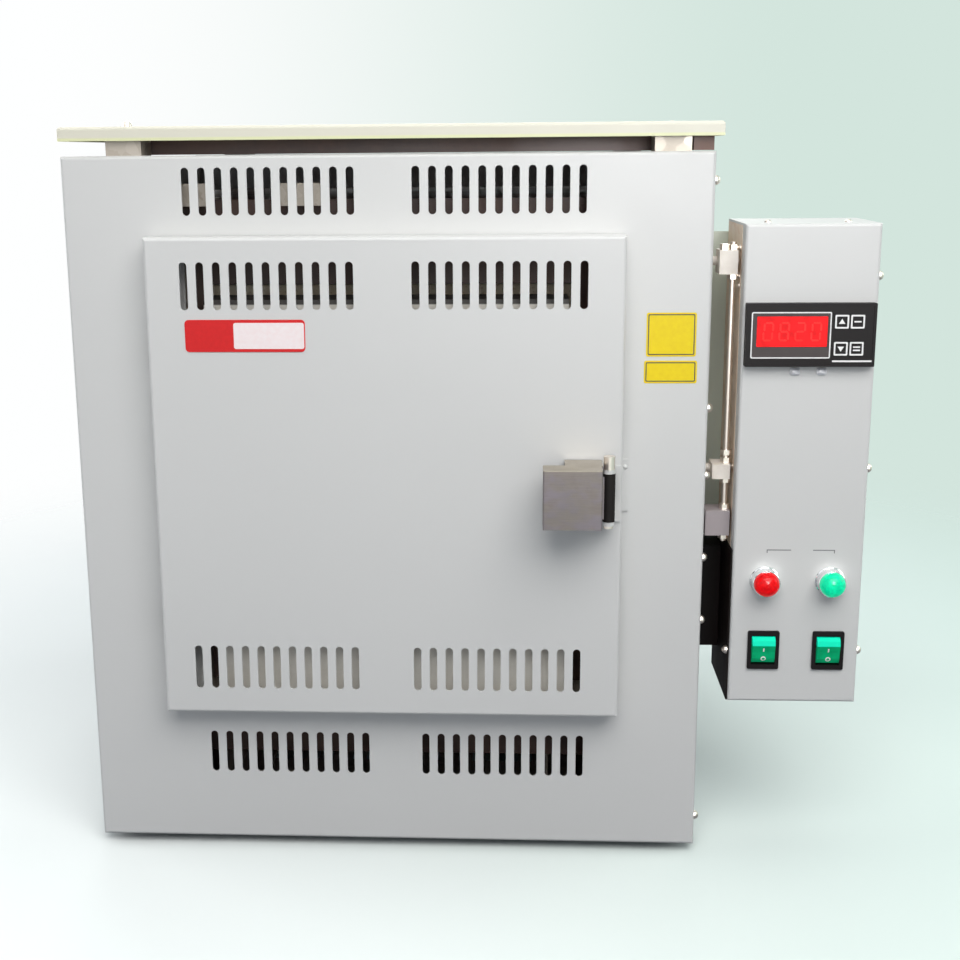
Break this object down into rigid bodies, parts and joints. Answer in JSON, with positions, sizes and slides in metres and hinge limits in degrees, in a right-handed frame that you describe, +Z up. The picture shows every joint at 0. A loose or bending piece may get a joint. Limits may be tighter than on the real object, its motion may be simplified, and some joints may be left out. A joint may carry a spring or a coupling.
{
  "type": "jewellery kiln",
  "caption": "Bench-top box kiln with slotted double-walled casing, side-hinged latched door, brick-lined chamber and a side-mounted control box with display, lamps and rockers.",
  "frame": {"origin": "under the middle of the whole kiln's outline, on the surface that its feet stand on", "axes": "+X to the right as seen from the front, +Y to the back, +Z up; the door faces -Y"},
  "size_m": [0.6216, 0.5486, 0.5879],
  "materials": {
    "grey_paint": "satin light grey powder coat",
    "lid_paint": "glossy cream paint",
    "dark_paint": "heat-browned dark paint",
    "warm_sheet": "bare warm-toned sheet",
    "mount_paint": "grey-green paint",
    "zinc_sheet": "bare galvanised sheet",
    "zinc_parts": "bright zinc plate",
    "bracket_paint": "off-white paint",
    "beige_sheet": "beige heat-resistant paint",
    "handle_metal": "dark satin grey",
    "black_rubber": "matt black",
    "black_sheet": "matt black",
    "black_plastic": "fine-grained black",
    "key_plastic": "soft black caps",
    "window": "red filter with lit display",
    "lamp_chrome": "bright chrome",
    "lamp_red": "clear red",
    "lamp_green": "clear green",
    "rocker_green": "clear green",
    "fibre": "off-white ceramic fibre board",
    "brick": "porous refractory",
    "hearth": "dense fired cordierite",
    "bush": "steatite",
    "wire": "oxidised resistance wire"
  },
  "bodies": {
    "kiln": {"front_panel": "grey_paint", "left_panel": "grey_paint", "right_panel": "grey_paint", "back_panel": "grey_paint", "base_plate": "zinc_sheet", "feet": "black_rubber", "lid": "lid_paint", "lid_standoffs": "zinc_sheet", "heat_shield": "dark_paint", "casing_screws": "zinc_parts", "inner_case": "dark_paint", "support_rails": "zinc_sheet", "case_brackets": "zinc_sheet", "door_collar": "zinc_sheet", "mouth_frame": "brick", "insulation": "fibre", "muffle_left": "brick", "muffle_right": "brick", "muffle_roof": "brick", "muffle_floor": "brick", "muffle_rear": "brick", "hearth_plate": "hearth", "element_left": "wire", "element_right": "wire", "element_bushes": "bush", "thermocouple": "zinc_parts", "hinge_brackets": "zinc_sheet", "hinge_pins": "zinc_parts", "latch_keeper": "grey_paint", "box_brackets": "bracket_paint", "tie_rod": "zinc_parts", "box_mount": "mount_paint", "cable_duct": "black_sheet", "box_side_plate": "black_sheet", "box_cover": "grey_paint", "box_chassis": "warm_sheet", "box_screws": "zinc_parts", "controller": "black_plastic", "controller_window": "window", "lamp_rings": "lamp_chrome", "lamp_red": "lamp_red", "lamp_green": "lamp_green", "switch_frames": "black_plastic", "cable_gland": "black_plastic"},
    "door": {"door_cover": "grey_paint", "door_inner_box": "beige_sheet", "door_pad": "fibre", "door_hinges": "zinc_sheet", "latch_bracket": "grey_paint", "latch_pin": "zinc_parts"},
    "latch": {"latch_handle": "handle_metal", "latch_sleeve": "black_rubber", "latch_hook": "zinc_parts"},
    "key_up": {"key_up": "key_plastic"},
    "key_down": {"key_down": "key_plastic"},
    "key_set": {"key_set": "key_plastic"},
    "key_back": {"key_back": "key_plastic"},
    "rocker_left": {"rocker_left": "rocker_green"},
    "rocker_right": {"rocker_right": "rocker_green"}
  },
  "joints": [
    {"name": "door_hinge", "type": "hinge", "parent": "kiln", "child": "door", "pos_m": [-0.2351, -0.22225, 0.315], "axis": [0, 0, -1], "range_deg": [0, 110]},
    {"name": "latch_pivot", "type": "hinge", "parent": "door", "child": "latch", "pos_m": [0.1068, -0.24625, 0.313], "axis": [0, 0, 1], "range_deg": [0, 18], "stiffness_Nm_per_rad": 0.3, "springref_deg": -3.44},
    {"name": "rocker_left_tilt", "type": "hinge", "parent": "kiln", "child": "rocker_left", "pos_m": [0.2328, -0.20805, 0.1771], "axis": [-1, 0, 0], "range_deg": [0, 20]},
    {"name": "rocker_right_tilt", "type": "hinge", "parent": "kiln", "child": "rocker_right", "pos_m": [0.2832, -0.20805, 0.1771], "axis": [-1, 0, 0], "range_deg": [0, 20]},
    {"name": "key_up_press", "type": "slide", "parent": "kiln", "child": "key_up", "axis": [0, 1, 0], "range_m": [0, 0.0007], "stiffness_N_per_m": 1500, "springref_m": -0.0003},
    {"name": "key_down_press", "type": "slide", "parent": "kiln", "child": "key_down", "axis": [0, 1, 0], "range_m": [0, 0.0007], "stiffness_N_per_m": 1500, "springref_m": -0.0003},
    {"name": "key_set_press", "type": "slide", "parent": "kiln", "child": "key_set", "axis": [0, 1, 0], "range_m": [0, 0.0007], "stiffness_N_per_m": 1500, "springref_m": -0.0003},
    {"name": "key_back_press", "type": "slide", "parent": "kiln", "child": "key_back", "axis": [0, 1, 0], "range_m": [0, 0.0007], "stiffness_N_per_m": 1500, "springref_m": -0.0003}
  ]
}
